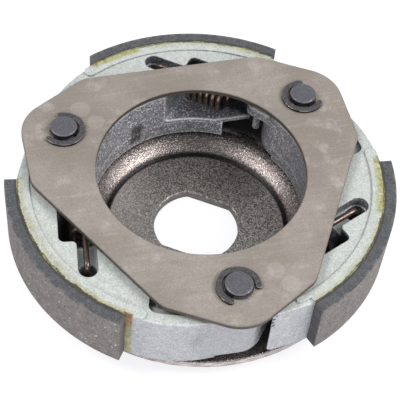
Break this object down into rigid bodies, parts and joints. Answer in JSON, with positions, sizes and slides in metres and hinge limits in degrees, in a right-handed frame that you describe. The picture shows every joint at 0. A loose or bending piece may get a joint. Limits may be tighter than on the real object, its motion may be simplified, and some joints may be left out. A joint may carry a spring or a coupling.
{
  "type": "centrifugal clutch",
  "caption": "Centrifugal clutch with swinging cast shoes, bonded friction linings, return springs, dished drive plate and open side plate.",
  "frame": {"origin": "on the clutch axis, in the plane of the hub's back face, where the clutch seats on its pulley", "axes": "+Z along the clutch axis, from the drive plate towards the side plate; -Y towards the third pivot pin"},
  "size_m": [0.1315, 0.1294, 0.0372],
  "materials": {
    "pressed_steel": "satin, brownish",
    "plate_steel": "matt, rolled",
    "pin_steel": "phosphated, dark",
    "ring_steel": "phosphated, dark",
    "cast_aluminium": "as cast, grainy",
    "friction_lining": "ground, matt",
    "spring_steel": "oiled, brownish",
    "damper_rubber": "matt"
  },
  "bodies": {
    "carrier": {"drive_plate": "pressed_steel", "side_plate": "plate_steel", "pivot_pin_1": "pin_steel", "pivot_pin_2": "pin_steel", "pivot_pin_3": "pin_steel", "retaining_ring_1": "ring_steel", "retaining_ring_2": "ring_steel", "retaining_ring_3": "ring_steel", "damper_stud_1": "pin_steel", "damper_stud_2": "pin_steel", "damper_stud_3": "pin_steel", "damper_1": "damper_rubber", "damper_2": "damper_rubber", "damper_3": "damper_rubber"},
    "shoe_arm_1": {"shoe_1": "cast_aluminium", "lining_1": "friction_lining", "spring_1": "spring_steel"},
    "shoe_arm_2": {"shoe_2": "cast_aluminium", "lining_2": "friction_lining", "spring_2": "spring_steel"},
    "shoe_arm_3": {"shoe_3": "cast_aluminium", "lining_3": "friction_lining", "spring_3": "spring_steel"}
  },
  "joints": [
    {"name": "shoe_1_swing", "type": "hinge", "parent": "carrier", "child": "shoe_arm_1", "pos_m": [-0.04244, 0.0245, 0.021], "axis": [0, 0, 1], "range_deg": [0, 3], "stiffness_Nm_per_rad": 28, "springref_deg": -9.45, "deforming": ["spring_1"]},
    {"name": "shoe_2_swing", "type": "hinge", "parent": "carrier", "child": "shoe_arm_2", "pos_m": [0, -0.049, 0.021], "axis": [0, 0, 1], "range_deg": [0, 3], "stiffness_Nm_per_rad": 28, "springref_deg": -9.45, "deforming": ["spring_2"]},
    {"name": "shoe_3_swing", "type": "hinge", "parent": "carrier", "child": "shoe_arm_3", "pos_m": [0.04244, 0.0245, 0.021], "axis": [0, 0, 1], "range_deg": [0, 3], "stiffness_Nm_per_rad": 28, "springref_deg": -9.45, "deforming": ["spring_3"]}
  ]
}
